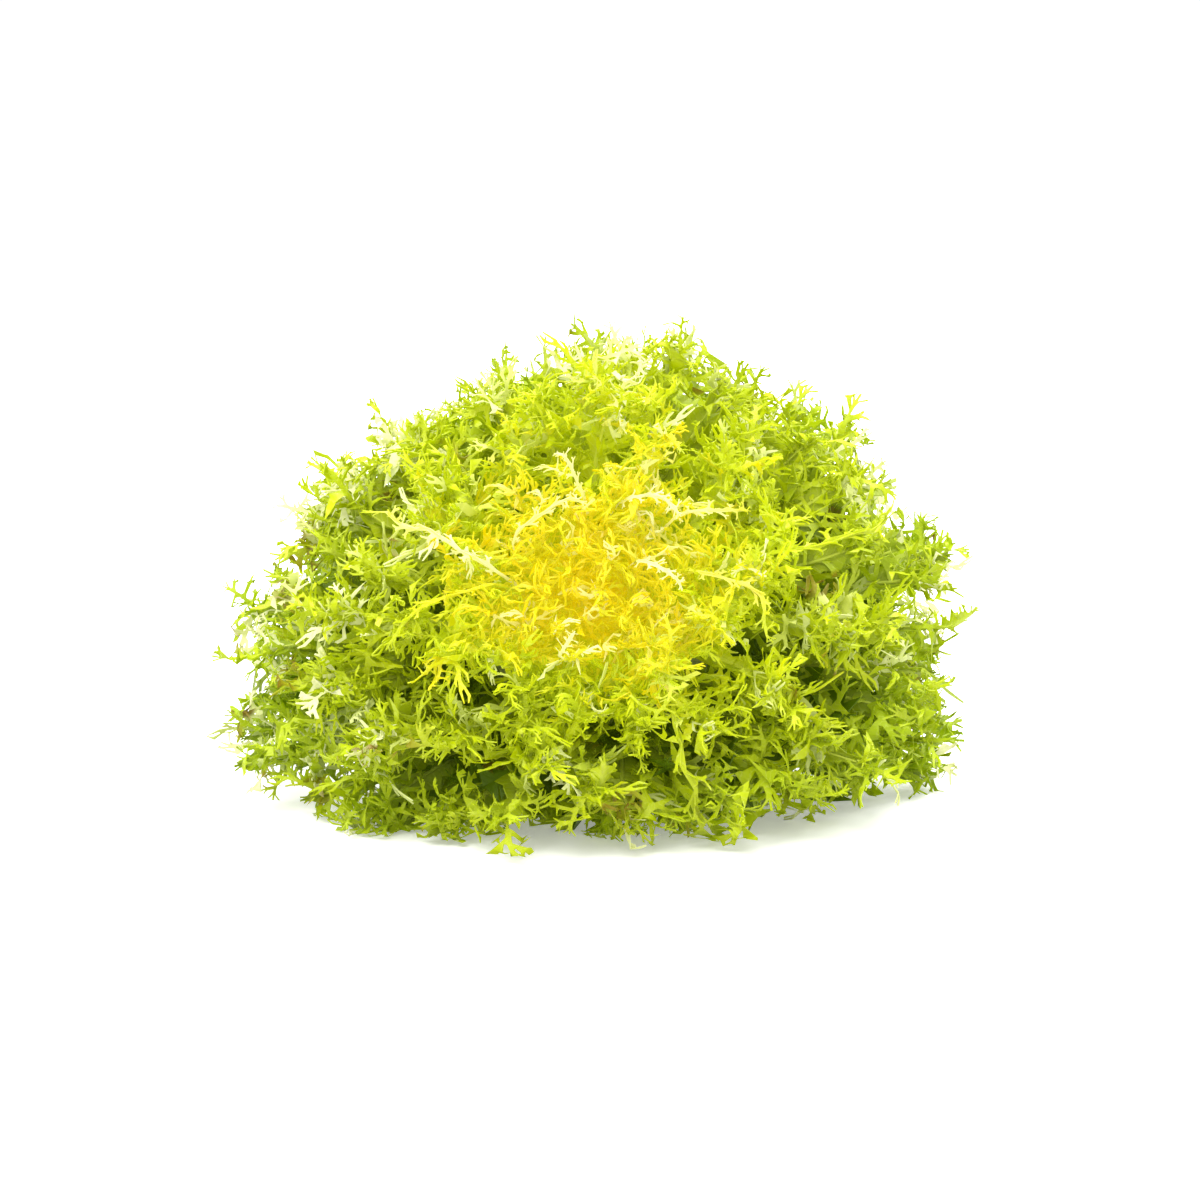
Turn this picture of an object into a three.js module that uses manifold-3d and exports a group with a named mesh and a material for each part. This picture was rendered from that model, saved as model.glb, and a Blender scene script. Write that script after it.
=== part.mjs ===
// A head of curly endive (frisee) lying on a surface, its heart turned forward and a little up.
// Units are millimetres, +Z is up, and the heart faces -Y. The origin is on the surface, under the middle.
//
// The head is drawn first as a round one: a half ball of leaves about its own axis, which "settle" then lays
// down, leans and presses to its real height and depth. A place in the round head is given by
//   reach: distance from the crown's centre, lean: angle from the head's axis, turn: angle round the axis.
// A leaf keeps to a cone-like shell of its own, so that no leaf cuts through another.

import * as THREE from "three";
import { mergeVertices } from "three/addons/utils/BufferGeometryUtils.js";
import Module from "manifold-3d";

// --- Driving dimensions ---------------------------------------------------------------------------------
const HEAD_RADIUS = 150; // crown to leaf tips, where nothing presses on them
const HEIGHT_ABOVE = 135; // crown to the highest tips
const HEIGHT_BELOW = 72; // crown to the lowest tips, if no surface pressed them flat
const CROWN_HEIGHT = 64; // crown's centre above the surface
const DEPTH_AHEAD = 128; // crown to the front of the heart
const CROWN_BACK = 28.1; // crown's centre behind the origin
const CROWN_LEFT = 2.1; // and to its left
const CROWN_BLEND = 30; // over this height at the crown, the height below passes into the height above
const AXIS_TILT = THREE.MathUtils.degToRad(20); // the heart looks this far above the horizontal

const LEAF_COUNT = 48;
const GOLDEN_TURN = THREE.MathUtils.degToRad(137.508); // from each leaf to the next, as it grows
const OUTER_LEAN = THREE.MathUtils.degToRad(113); // the outermost leaf bends back past the crown
const INNER_LEAN = THREE.MathUtils.degToRad(25); // the innermost of the long leaves
const ROOT_LEAN = 0.74; // a leaf leaves the crown at this share of its tip's lean

const CROWN_RADIUS = 17; // where the leaves' roots start
const ROOT_GAP = 0.6; // from the crown's skin to a leaf's root
const BUTT_RADIUS = 14;
const BUTT_LENGTH = 21; // crown's centre to the cut face

const RIB_HALF_WIDTH_OUTER = 3.9; // at the root of the outermost leaf
const RIB_HALF_WIDTH_INNER = 2.4; // at the root of the innermost
const RIB_HALF_WIDTH_TIP = 1.2;
const THICK_ROOT = 1.4;
const THICK_TIP = 0.8;
const LOBE_LENGTH = 33; // along itself, on the outermost leaf, past the middle of the leaf
const YOUNG_LOBE_SHARE = 0.72; // of that, on the innermost leaf
const LOBE_CURL = 13; // how far a lobe's teeth stand out of the blade
const LEAF_TWIST = 0.35; // slope that a blade turns to by its tip, either way

const HEART_BLADES = 38;
const HEART_LEAN = THREE.MathUtils.degToRad(19);
const HEART_CORE_REACH = 108; // crown's centre to the top of the heart's core
const HEART_CORE_RADIUS = 19;
const HEART_CORE_DOME = 3; // height of the core's blunt end
const HEART_THICK = 1.1;
const HEART_BLADE_WIDTH = 16; // across the outer teeth

const TOUCH = 0.4; // the lowest blades lie this far up, at mid thickness, where they press on the surface
const TOUCH_SOFTNESS = 1.2; // height over which a blade bends from hanging free to lying down
const FLAT_BELOW = 1.5; // a face this near the surface lies flat on it
const FOOT_SQUARENESS = 4;

const GREEN = 0x86b31c;
const LIME = 0xb4cf26;
const YELLOW = 0xe6dc2e;
const IVORY = 0xe9e6c0;

// --- Small helpers --------------------------------------------------------------------------------------
const lerp = THREE.MathUtils.lerp;
const clamp = THREE.MathUtils.clamp;

// An even, repeatable scatter between 0 and 1 for leaf or lobe number i. Each stream k is a different one.
function scatter(i, k) {
  const x = Math.sin(i * 12.9898 + k * 78.233) * 43758.5453;
  return x - Math.floor(x);
}

// --- From the round head to the head as it lies ---------------------------------------------------------
function roundPlace(reach, lean, turn) {
  const out = reach * Math.sin(lean);
  return new THREE.Vector3(out * Math.cos(turn), out * Math.sin(turn), reach * Math.cos(lean));
}

// The round head's z is its axis. Its own weight presses it less near the stiff crown than at the tips.
function settle(p) {
  const back = Math.sin(AXIS_TILT) * p.y - Math.cos(AXIS_TILT) * p.z;
  const up = Math.cos(AXIS_TILT) * p.y + Math.sin(AXIS_TILT) * p.z;
  const give = Math.sqrt(Math.min(1, p.length() / HEAD_RADIUS));
  const above = (1 + Math.tanh(up / CROWN_BLEND)) / 2;
  const heightShare = lerp(HEIGHT_BELOW, HEIGHT_ABOVE, above) / HEAD_RADIUS;
  const depthShare = DEPTH_AHEAD / HEAD_RADIUS;
  const spread = lerp(1, footSpread(Math.hypot(p.x, back), up), give);
  const height = CROWN_HEIGHT + up * spread * lerp(1, heightShare, give);
  const depth = CROWN_BACK + back * spread * lerp(1, depthShare, give);
  return new THREE.Vector3(p.x * spread - CROWN_LEFT, depth, aboveSurface(height));
}

// Below the crown the leaves spread until the head stands on a broad flat foot. This is how far they spread:
// 1 is a round head, and the higher FOOT_SQUARENESS is, the squarer the head is under the crown.
function footSpread(level, up) {
  if (up >= 0) return 1;
  const size = Math.hypot(level, up);
  const outShare = Math.pow(level / size, FOOT_SQUARENESS);
  const downShare = Math.pow(-up / size, FOOT_SQUARENESS);
  return Math.pow(outShare + downShare, -1 / FOOT_SQUARENESS);
}

// What would reach under the surface lies on it instead.
function aboveSurface(z) {
  return TOUCH + (z - TOUCH + Math.hypot(z - TOUCH, TOUCH_SOFTNESS)) / 2;
}

// --- One blade: a thin sheet with the same triangles on both faces --------------------------------------
// points: world places of the middle of the sheet. faces: triples of them. thick: sheet's thickness at each.
function sheetGeometry(points, faces, thick) {
  const normals = points.map(() => new THREE.Vector3());
  for (const [a, b, c] of faces) {
    const ab = points[b].clone().sub(points[a]);
    const ac = points[c].clone().sub(points[a]);
    const n = ab.cross(ac);
    for (const i of [a, b, c]) normals[i].add(n);
  }
  const shift = (i, side) =>
    points[i].clone().addScaledVector(normals[i].clone().normalize(), (side * thick[i]) / 2);
  const corners = [...points.keys()].map((i) => shift(i, 1));
  corners.push(...[...points.keys()].map((i) => shift(i, -1)));
  const under = points.length;
  for (const i of points.keys()) layFlat(corners[i], corners[under + i], thick[i]);

  const triangles = [];
  for (const [a, b, c] of faces) triangles.push([a, b, c], [under + a, under + c, under + b]);
  for (const [a, b] of rimOf(faces)) triangles.push([a, under + a, under + b], [a, under + b, b]);
  return indexed(corners, triangles);
}

// Where a blade is this near the surface its lower face lies flat on it, and the blade keeps its thickness.
function layFlat(oneSide, otherSide, thick) {
  const [lower, upper] = oneSide.z < otherSide.z ? [oneSide, otherSide] : [otherSide, oneSide];
  if (lower.z > FLAT_BELOW) return;
  lower.z = 0;
  upper.z = Math.max(upper.z, thick);
}

// Edges with a face on one side only, each running the way its face does.
function rimOf(faces) {
  const seen = new Set();
  const edges = faces.flatMap(([a, b, c]) => [[a, b], [b, c], [c, a]]);
  for (const [a, b] of edges) seen.add(a + "_" + b);
  return edges.filter(([a, b]) => !seen.has(b + "_" + a));
}

function indexed(corners, triangles) {
  const geometry = new THREE.BufferGeometry();
  geometry.setAttribute("position", new THREE.Float32BufferAttribute(corners.flatMap((v) => v.toArray()), 3));
  geometry.setIndex(triangles.flat());
  return geometry;
}

// --- The flat pattern of a leaf -------------------------------------------------------------------------
// A point of the pattern is {along, across, lift}: millimetres along the rib, to its right, and out of the
// blade. Narrow lobes stand in pairs, cut to the rib with a gap between pairs, and fork into two teeth.
const BARE_SHARE = 0.2; // the rib has no lobes up to here
const LOBED_END = 0.9;
const LOBE_PAIRS = 6;
const LOBE_BASE = 5; // along the rib
const SWEEP_LOW = 1.05; // angle between rib and lobe at the first lobes, in radians
const SWEEP_TOP = 0.6; // and at the last
const SWEEP_SCATTER = 0.3;
const ROOT_CURL_SHARE = 0.25; // lobes near the crown, where leaves lie close, curl this share of LOBE_CURL

// The lobe's two teeth and the notch between them: each one's distance from the lobe's base as a share of the
// lobe's length, its turn from the lobe's own direction in radians, and its share of the lobe's curl.
const FRONT_TOOTH = { reach: 1, turn: -0.17, curl: 1 };
const NOTCH = { reach: 0.54, turn: 0.05, curl: 0.2 };
const REAR_TOOTH = { reach: 0.9, turn: 0.3, curl: -0.6 };

// The fork at the leaf's end, in shares of the lobe's length: along the rib and to its right.
const END_TIP = [0.6, 0];
const END_LEFT_TOOTH = [0.45, -0.3];
const END_RIGHT_TOOTH = [0.4, 0.34];
const END_NOTCH = [0.16, 0.04];

function leafPattern(seed, length, width, rootHalfWidth) {
  const points = [];
  const faces = [];
  const add = (along, across, lift) => points.push({ along, across, lift }) - 1;
  const ribEnds = (along) => {
    const half = lerp(rootHalfWidth, RIB_HALF_WIDTH_TIP, Math.sqrt(along / length));
    return [add(along, -half, 0), add(along, half, 0)];
  };
  const joinRib = ([l0, r0], [l1, r1]) => faces.push([l0, r0, r1], [l0, r1, l1]);

  let end = ribEnds(0);
  for (let k = 0; k < LOBE_PAIRS; k += 1) {
    const share = k / (LOBE_PAIRS - 1);
    const along = length * lerp(BARE_SHARE, LOBED_END, share);
    const before = ribEnds(along);
    const after = ribEnds(along + LOBE_BASE);
    joinRib(end, before);
    joinRib(before, after);
    for (const side of [-1, 1]) {
      const edge = side > 0 ? 1 : 0;
      const number = 2 * k + edge;
      const size = width * lobeShare(share) * lerp(0.8, 1.2, scatter(seed, number));
      const sweep = lerp(SWEEP_LOW, SWEEP_TOP, share) + SWEEP_SCATTER * (scatter(seed, 40 + number) - 0.5);
      const curl = curlOf(seed, number) * lerp(ROOT_CURL_SHARE, 1, share);
      addFork(points, faces, add, { from: before[edge], to: after[edge], side, size, sweep, curl });
    }
    end = after;
  }
  addEndFork(points, faces, add, end, width, seed);
  return { points, faces };
}

// Lobes are short at the root, longest past the middle of the leaf, and shorter again at its tip.
function lobeShare(share) {
  return 0.4 + 0.74 * Math.sin(Math.PI * 0.84 * Math.pow(share, 0.8));
}

// Teeth stand out of the blade to both sides in turn, so that the leaf looks curled from every way.
function curlOf(seed, number) {
  const way = (number >> 1) % 2 ? 1 : -1;
  return LOBE_CURL * way * lerp(0.55, 1, scatter(seed, 80 + number));
}

// from, to: the ends of the lobe's base on the rib. sweep: its angle from the rib's direction, in radians.
function addFork(points, faces, add, { from, to, side, size, sweep, curl }) {
  const base = points[to];
  const place = (tooth) => {
    const reach = size * tooth.reach;
    const angle = sweep + tooth.turn;
    const outward = side * reach * Math.sin(angle);
    return add(base.along + reach * Math.cos(angle), base.across + outward, curl * tooth.curl);
  };
  const front = place(FRONT_TOOTH);
  const notch = place(NOTCH);
  const rear = place(REAR_TOOTH);
  const turnFace = (a, b, c) => faces.push(side > 0 ? [a, b, c] : [a, c, b]);
  turnFace(from, notch, to);
  turnFace(from, rear, notch);
  turnFace(to, notch, front);
}

function addEndFork(points, faces, add, [left, right], width, seed) {
  const start = points[left].along;
  const curl = LOBE_CURL * (scatter(seed, 7) - 0.5);
  const place = ([ahead, right], lift) => add(start + width * ahead, width * right, lift);
  const tip = place(END_TIP, curl);
  const leftTip = place(END_LEFT_TOOTH, -curl);
  const rightTip = place(END_RIGHT_TOOTH, curl * 0.4);
  const notchLeft = place([END_NOTCH[0], -END_NOTCH[1]], 0);
  const notchRight = place(END_NOTCH, 0);
  faces.push(
    [left, right, notchRight],
    [left, notchRight, notchLeft],
    [notchLeft, notchRight, tip],
    [left, notchLeft, leftTip],
    [right, rightTip, notchRight],
  );
}

// --- Long leaves ----------------------------------------------------------------------------------------
// Leaf 0 is the outermost. Leaves share out the ball's skin evenly, so the lean's cosine falls in even steps.
function leafShell(i) {
  const share = i / (LEAF_COUNT - 1);
  const lean = Math.acos(lerp(Math.cos(OUTER_LEAN), Math.cos(INNER_LEAN), share));
  const length = HEAD_RADIUS * lerp(0.94, 1.06, scatter(i, 3)) - CROWN_RADIUS;
  const twist = LEAF_TWIST * lerp(-1, 1, scatter(i, 5));
  return { lean, turn: i * GOLDEN_TURN, length, twist };
}

// Lean of a shell at a share of the way out: upright at the crown, arching over to the tip.
function arch(lean, share) {
  return lean * (ROOT_LEAN + (1 - ROOT_LEAN) * Math.pow(clamp(share, 0, 1.2), 1.25));
}

// The blade turns about its rib towards the tip, one way or the other, so that no two leaves lie alike.
function leafPlace(shell, { along, across, lift }) {
  const reach = CROWN_RADIUS + along;
  const share = along / shell.length;
  const lean = arch(shell.lean, reach / HEAD_RADIUS);
  const out = Math.max(9, reach * Math.sin(lean));
  const raised = lift + across * shell.twist * share * share;
  return settle(roundPlace(reach, lean - raised / reach, shell.turn + across / out));
}

function leafGeometry(i) {
  const shell = leafShell(i);
  const youth = i / (LEAF_COUNT - 1);
  const width = LOBE_LENGTH * lerp(1, YOUNG_LOBE_SHARE, youth);
  const rootHalfWidth = lerp(RIB_HALF_WIDTH_OUTER, RIB_HALF_WIDTH_INNER, youth);
  const { points, faces } = leafPattern(i, shell.length - width * END_TIP[0], width, rootHalfWidth);
  const thick = points.map((p) => lerp(THICK_ROOT, THICK_TIP, clamp(p.along / shell.length, 0, 1)));
  const places = points.map((p) => leafPlace(shell, p));
  return sheetGeometry(places, faces, thick);
}

// --- Crown: a dome that the leaves grow from, and the cut butt behind it --------------------------------
function crownGeometry() {
  const dome = CROWN_RADIUS - ROOT_GAP;
  const profile = [new THREE.Vector2(0, -BUTT_LENGTH), new THREE.Vector2(BUTT_RADIUS, -BUTT_LENGTH)];
  const domeSteps = 7;
  const backAngle = THREE.MathUtils.degToRad(105);
  for (let k = 0; k < domeSteps; k += 1) {
    const angle = backAngle * (1 - k / domeSteps);
    profile.push(new THREE.Vector2(dome * Math.sin(angle), dome * Math.cos(angle)));
  }
  profile.push(new THREE.Vector2(0, dome));
  const lathe = new THREE.LatheGeometry(profile, 18);
  lathe.rotateX(Math.PI / 2);
  return settled(bare(lathe));
}

function settled(geometry) {
  const place = geometry.attributes.position;
  for (let i = 0; i < place.count; i += 1) {
    place.setXYZ(i, ...settle(new THREE.Vector3().fromBufferAttribute(place, i)).toArray());
  }
  return geometry;
}

// A geometry with its shared vertices merged, as manifold-3d needs it.
function bare(geometry) {
  const copy = geometry.clone();
  copy.deleteAttribute("normal");
  copy.deleteAttribute("uv");
  return mergeVertices(copy, 1e-4);
}

// --- Heart: short frizzy blades on a slim core ----------------------------------------------------------
const HEART_CORE_START = CROWN_RADIUS + ROOT_GAP;

// Radius of the core at a share of its length: a slim stem that swells and closes over.
function heartCoreRadius(share) {
  return lerp(2.4, HEART_CORE_RADIUS, Math.pow(share, 0.9)) * Math.sqrt(1 - 0.92 * Math.pow(share, 6));
}

function heartCoreGeometry() {
  const steps = 8;
  const profile = [new THREE.Vector2(0, HEART_CORE_START)];
  for (let k = 0; k <= steps; k += 1) {
    const share = k / steps;
    const reach = lerp(HEART_CORE_START, HEART_CORE_REACH - HEART_CORE_DOME, share);
    profile.push(new THREE.Vector2(heartCoreRadius(share), reach));
  }
  profile.push(new THREE.Vector2(0, HEART_CORE_REACH));
  const lathe = new THREE.LatheGeometry(profile, 12);
  lathe.rotateX(Math.PI / 2);
  return settled(bare(lathe));
}

// A heart blade is a narrow strip that widens and ends in three teeth. In heartBladeRows each point is
// [distance from the crown, millimetres to the right, millimetres outwards].
function heartBladeRows(root, tip) {
  const at = (share) => lerp(root, tip, share);
  const tooth = HEART_BLADE_WIDTH / 2;
  return [
    [root, -2, 0],
    [root, 2, 0],
    [at(0.5), 2.6, 2],
    [at(0.5), -2.6, 2],
    [at(0.8), -tooth, 5],
    [at(0.72), -1.4, 3],
    [tip, -1.5, 2],
    [at(0.72), 1.6, 3],
    [at(0.9), tooth, -3],
  ];
}
const HEART_BLADE_FACES = [[0, 1, 2], [0, 2, 3], [3, 5, 4], [3, 2, 7], [3, 7, 5], [5, 7, 6], [2, 8, 7]];

function heartBladeGeometry(j) {
  const share = (j + 0.5) / HEART_BLADES;
  const lean = HEART_LEAN * Math.sqrt(share);
  const turn = j * GOLDEN_TURN;
  const rootShare = lerp(0.86, 0.5, share);
  const root = lerp(HEART_CORE_START, HEART_CORE_REACH, rootShare);
  const tip = HEAD_RADIUS * lerp(0.86, 0.97, scatter(j, 11));
  // The root is sunk into the core, and the blade leans out to its own place at the tip.
  const rootLean = Math.min(lean, (0.6 * heartCoreRadius(rootShare)) / root);
  const leanAt = (along) => lerp(rootLean, lean, Math.sqrt(clamp((along - root) / (tip - root), 0, 1)));
  const twist = (scatter(j, 12) - 0.5) * 1.6;
  const points = heartBladeRows(root, tip).map(([along, across, lift]) => {
    const sideways = across * Math.cos(twist) - lift * Math.sin(twist);
    const outward = across * Math.sin(twist) + lift * Math.cos(twist);
    const middle = roundPlace(along, leanAt(along), turn);
    middle.x += -Math.sin(turn) * sideways + Math.cos(turn) * outward;
    middle.y += Math.cos(turn) * sideways + Math.sin(turn) * outward;
    return settle(middle);
  });
  return sheetGeometry(points, HEART_BLADE_FACES, points.map(() => HEART_THICK));
}

function solidOf(wasm, geometry) {
  const mesh = new wasm.Mesh({
    numProp: 3,
    vertProperties: new Float32Array(geometry.attributes.position.array),
    triVerts: new Uint32Array(geometry.index.array),
  });
  return new wasm.Manifold(mesh);
}

function geometryOf(solid) {
  const mesh = solid.getMesh();
  const geometry = new THREE.BufferGeometry();
  geometry.setAttribute("position", new THREE.BufferAttribute(new Float32Array(mesh.vertProperties), 3));
  geometry.setIndex(new THREE.BufferAttribute(new Uint32Array(mesh.triVerts), 1));
  return geometry;
}

function heartGeometry(wasm) {
  let heart = solidOf(wasm, heartCoreGeometry());
  for (let j = 0; j < HEART_BLADES; j += 1) heart = heart.add(solidOf(wasm, heartBladeGeometry(j)));
  return geometryOf(heart);
}

// --- The head -------------------------------------------------------------------------------------------
function leafMaterial(youth) {
  const color = new THREE.Color(GREEN).lerp(new THREE.Color(LIME), youth);
  return new THREE.MeshStandardMaterial({ color, roughness: 0.5, metalness: 0 });
}

function named(name, geometry, material) {
  const mesh = new THREE.Mesh(geometry, material);
  mesh.name = name;
  return mesh;
}

const wasm = await Module();
wasm.setup();

const head = new THREE.Group();
const crownMaterial = new THREE.MeshStandardMaterial({ color: IVORY, roughness: 0.6, metalness: 0 });
head.add(named("crown", crownGeometry(), crownMaterial));
for (let i = 0; i < LEAF_COUNT; i += 1) {
  const name = "leaf_" + String(i + 1).padStart(2, "0");
  head.add(named(name, leafGeometry(i), leafMaterial(i / (LEAF_COUNT - 1))));
}
const heartMaterial = new THREE.MeshStandardMaterial({ color: YELLOW, roughness: 0.5, metalness: 0 });
head.add(named("heart", heartGeometry(wasm), heartMaterial));

export default head;
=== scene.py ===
import math
from dataclasses import dataclass, fields

import bmesh
import bpy
import numpy as np
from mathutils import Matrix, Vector


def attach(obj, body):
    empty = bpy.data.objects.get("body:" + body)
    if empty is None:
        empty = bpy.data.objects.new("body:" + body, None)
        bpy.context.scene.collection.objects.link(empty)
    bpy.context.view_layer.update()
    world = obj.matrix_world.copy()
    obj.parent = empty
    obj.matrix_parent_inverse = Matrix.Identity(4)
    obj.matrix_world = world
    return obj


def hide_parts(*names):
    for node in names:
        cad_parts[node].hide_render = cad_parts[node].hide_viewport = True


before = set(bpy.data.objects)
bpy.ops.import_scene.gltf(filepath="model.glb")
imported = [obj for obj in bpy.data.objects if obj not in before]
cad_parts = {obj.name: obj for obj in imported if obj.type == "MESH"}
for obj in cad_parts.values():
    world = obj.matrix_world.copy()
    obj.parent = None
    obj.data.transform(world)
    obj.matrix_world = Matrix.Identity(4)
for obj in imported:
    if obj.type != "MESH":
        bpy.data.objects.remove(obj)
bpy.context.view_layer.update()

# A head of curly endive lying on a surface, its yellow heart turned forward and a little up.
# Fronds and ribs are modelled flat, in millimetres, then copied, curled and laid on the head, in
# metres. The head is drawn round about its own axis first, and "settle" lays it down, leans it and
# presses it. Reach is the distance from the crown's centre, lean the angle from the axis, and turn
# the angle round it.

MM = 0.001
ROUND = 6.28  # a full turn, near enough, for the start of a wave

# --- The head, as the frame has it, in millimetres and radians --------------
HEAD_RADIUS = 150
HEIGHT_ABOVE = 135  # what the radius settles to above the crown,
HEIGHT_BELOW = 72  # below it,
DEPTH_AHEAD = 128  # and in front of it and behind
CROWN_HEIGHT = 64
CROWN_BACK = 28.1
CROWN_LEFT = 2.1
CROWN_BLEND = 30
AXIS_TILT = math.radians(20)
FOOT_SQUARENESS = 4
TOUCH = 0.4  # how near the lowest fronds come to the surface
TOUCH_SOFTNESS = 1.2
BACK_REACH = 108
FRONT_REACH = 110
PRESS_SOFTNESS = 6
UPTURN = 0.55  # how much of a frond's depth below the surface it rises above it instead
CHIN_DEPTH = -48
CHIN_RISE = 0.07
CHIN_TOP = 70

LEAF_COUNT = 48
GOLDEN_TURN = math.radians(137.508)
OUTER_LEAN = math.radians(113)
INNER_LEAN = math.radians(25)
HEART_LEAN = math.radians(19)
ROOT_LEAN = 0.74  # a leaf leaves the crown at this share of its lean
LEAN_GAIN = 1.25  # and gains the rest late, by this power
LEAF_TWIST = 0.35
MIDDLE_SWAY = 3.5  # how far a blade sways from its course, to either side
SIDE_SWAY = 4.5
HEART_SWAY = 3
SWAY_WAVE = 19
HEART_SWAY_WAVE = 13
TIGHTEST_ROUND = 9  # no leaf wraps round the axis more tightly
CROWN_RADIUS = 17
BUTT_RADIUS = 14
BUTT_LENGTH = 21


def lerp(a, b, share):
    return a + (b - a) * share


def scatter(i, k):
    """An even, repeatable scatter from 0 to 1 for number i. Each stream k is a different one."""
    x = np.sin(i * 12.9898 + k * 78.233) * 43758.5453
    return x - np.floor(x)


def swing(i, k):
    """The same scatter, between -1 and 1."""
    return 2 * scatter(i, k) - 1


def some_phase(i, k):
    """The same scatter, as the start of a wave."""
    return ROUND * scatter(i, k)


def span(x, y, z):
    return np.sqrt(x * x + y * y + z * z)


def turned(a, b, angle):
    """The place (a, b) in a plane, turned about the plane's origin."""
    return a * np.cos(angle) - b * np.sin(angle), a * np.sin(angle) + b * np.cos(angle)


def round_place(reach, lean, turn):
    out = reach * np.sin(lean)
    return out * np.cos(turn), out * np.sin(turn), reach * np.cos(lean)


def upward_part(y, z):
    """How high a place of the round head comes above the crown, once the axis is tilted."""
    return math.cos(AXIS_TILT) * y + math.sin(AXIS_TILT) * z


# By direction, as seen from in front: degrees up from the right, and share of the radius.
FULLNESS = {
    -180: 1.06, -165: 0.93, -155: 1.02, -140: 1.13, -130: 1.26, -100: 1.05, -75: 1.01, -60: 1.04,
    -45: 1.06, -30: 1.08, -15: 1.1, 0: 1.1, 20: 1.03, 32: 1.09, 45: 0.96, 60: 0.96, 80: 0.96,
    95: 1.0, 108: 0.88, 120: 0.815, 140: 0.865, 155: 0.915, 170: 1.01, 180: 1.06,
}


def fullness(x, up):
    """The head is fuller to some sides than to others, and more so towards its leaf ends."""
    share = np.interp(np.degrees(np.arctan2(up, x)), list(FULLNESS), list(FULLNESS.values()))
    return lerp(1, share, np.minimum(1, np.hypot(x, up) / HEAD_RADIUS))


def settle(x, y, z):
    """From the round head, in millimetres, to the head as it lies, in metres."""
    back = math.sin(AXIS_TILT) * y - math.cos(AXIS_TILT) * z
    up = upward_part(y, z)
    full = fullness(x, up)
    x, up = x * full, up * full
    give = np.sqrt(np.minimum(1, span(x, y, z) / HEAD_RADIUS))
    above = (1 + np.tanh(up / CROWN_BLEND)) / 2
    height_share = lerp(HEIGHT_BELOW, HEIGHT_ABOVE, above) / HEAD_RADIUS
    spread = lerp(1, foot_spread(np.hypot(x, back), up), give)
    height = CROWN_HEIGHT + up * spread * lerp(1, height_share, give)
    depth = CROWN_BACK + back * spread * lerp(1, DEPTH_AHEAD / HEAD_RADIUS, give)
    height = TOUCH + softly(height - TOUCH, TOUCH_SOFTNESS)
    return np.stack([x * spread - CROWN_LEFT, depth, height], axis=-1) * MM


def softly(value, softness):
    """Value where it is well above 0, bending smoothly to 0 where it is below."""
    return (value + np.hypot(value, softness)) / 2


def turn_up(points):
    """What would go below the surface that the head lies on curls up from it. The front rises from
    it like a chin, and front and back are pressed in a little."""
    height = points[..., 2] / MM - TOUCH
    depth = points[..., 1] / MM
    depth = BACK_REACH - softly(BACK_REACH - depth, PRESS_SOFTNESS)
    depth = softly(depth + FRONT_REACH, PRESS_SOFTNESS) - FRONT_REACH
    height = np.where(height < 0, -UPTURN * height, height)
    chin = CHIN_RISE * softly(CHIN_DEPTH - depth, PRESS_SOFTNESS)
    height = TOUCH + height + chin * np.clip(1 - height / CHIN_TOP, 0, 1)
    return np.stack([points[..., 0], depth * MM, height * MM], axis=-1)


def foot_spread(level, up):
    """How far the leaves under the crown spread, until the head stands on a broad flat foot."""
    size = np.maximum(1e-6, np.hypot(level, up))
    out_share = (level / size) ** FOOT_SQUARENESS
    down_share = (np.maximum(0, -up) / size) ** FOOT_SQUARENESS
    return np.where(up >= 0, 1, (out_share + down_share) ** (-1 / FOOT_SQUARENESS))


# --- Leaves' places in the head ---------------------------------------------
@dataclass
class Shell:
    """The cone-like surface that one leaf keeps to, rolled by twist at its end and swayed."""

    number: int
    lean: float
    turn: float
    length: float
    twist: float
    sway: float


def long_leaf_shell(i):
    share = i / (LEAF_COUNT - 1)
    lean = math.acos(lerp(math.cos(OUTER_LEAN), math.cos(INNER_LEAN), share))
    length = HEAD_RADIUS * lerp(0.94, 1.06, scatter(i, 3)) - CROWN_RADIUS
    return Shell(i, lean, i * GOLDEN_TURN, length, LEAF_TWIST * swing(i, 5), MIDDLE_SWAY)


BLADE_SPREAD = math.radians(11)  # between a leaf's middle blade and a side blade
LEAST_SINE = 0.35
LOWEST_LEAN = OUTER_LEAN + 0.06
SIDE_NUMBER = 100  # a side blade's number is its leaf's, and this much or twice as much more


def blade_shells(i):
    """A leaf divides low down into a middle blade and two side blades, which fill the room
    between leaves."""
    middle = long_leaf_shell(i)
    heading = math.tau * scatter(i, 81)
    shells = [middle]
    for b, side in ((1, -1), (2, 1)):
        number = i + SIDE_NUMBER * b
        lean = middle.lean + side * BLADE_SPREAD * math.cos(heading)
        sideways = side * BLADE_SPREAD * math.sin(heading)
        turn = middle.turn + sideways / max(LEAST_SINE, math.sin(lean))
        length = middle.length * lerp(0.93, 1.04, scatter(number, 3))
        twist = side * lerp(0.5, 1.3, scatter(number, 5))
        shells.append(Shell(number, min(abs(lean), LOWEST_LEAN), turn, length, twist, SIDE_SWAY))
    return shells


def lay_on_shell(shell, along, across, lift):
    """Millimetres along the rib, to its right and out of the blade, to a place in the head."""
    bend = shell.sway * np.sin(along / SWAY_WAVE + some_phase(shell.number, 21))
    reach = CROWN_RADIUS + along
    share = np.clip(along / shell.length, 0, 1.3)
    gained = np.clip(reach / HEAD_RADIUS, 0, 1.2) ** LEAN_GAIN
    lean = shell.lean * (ROOT_LEAN + (1 - ROOT_LEAN) * gained)
    out = np.maximum(TIGHTEST_ROUND, reach * np.sin(lean))
    across, lift = turned(across, lift, shell.twist * share * share)
    return round_place(reach, lean - lift / reach, shell.turn + (across + bend * share) / out)


HEART_LEAVES = 50
HEART_NUMBER = 500


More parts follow.
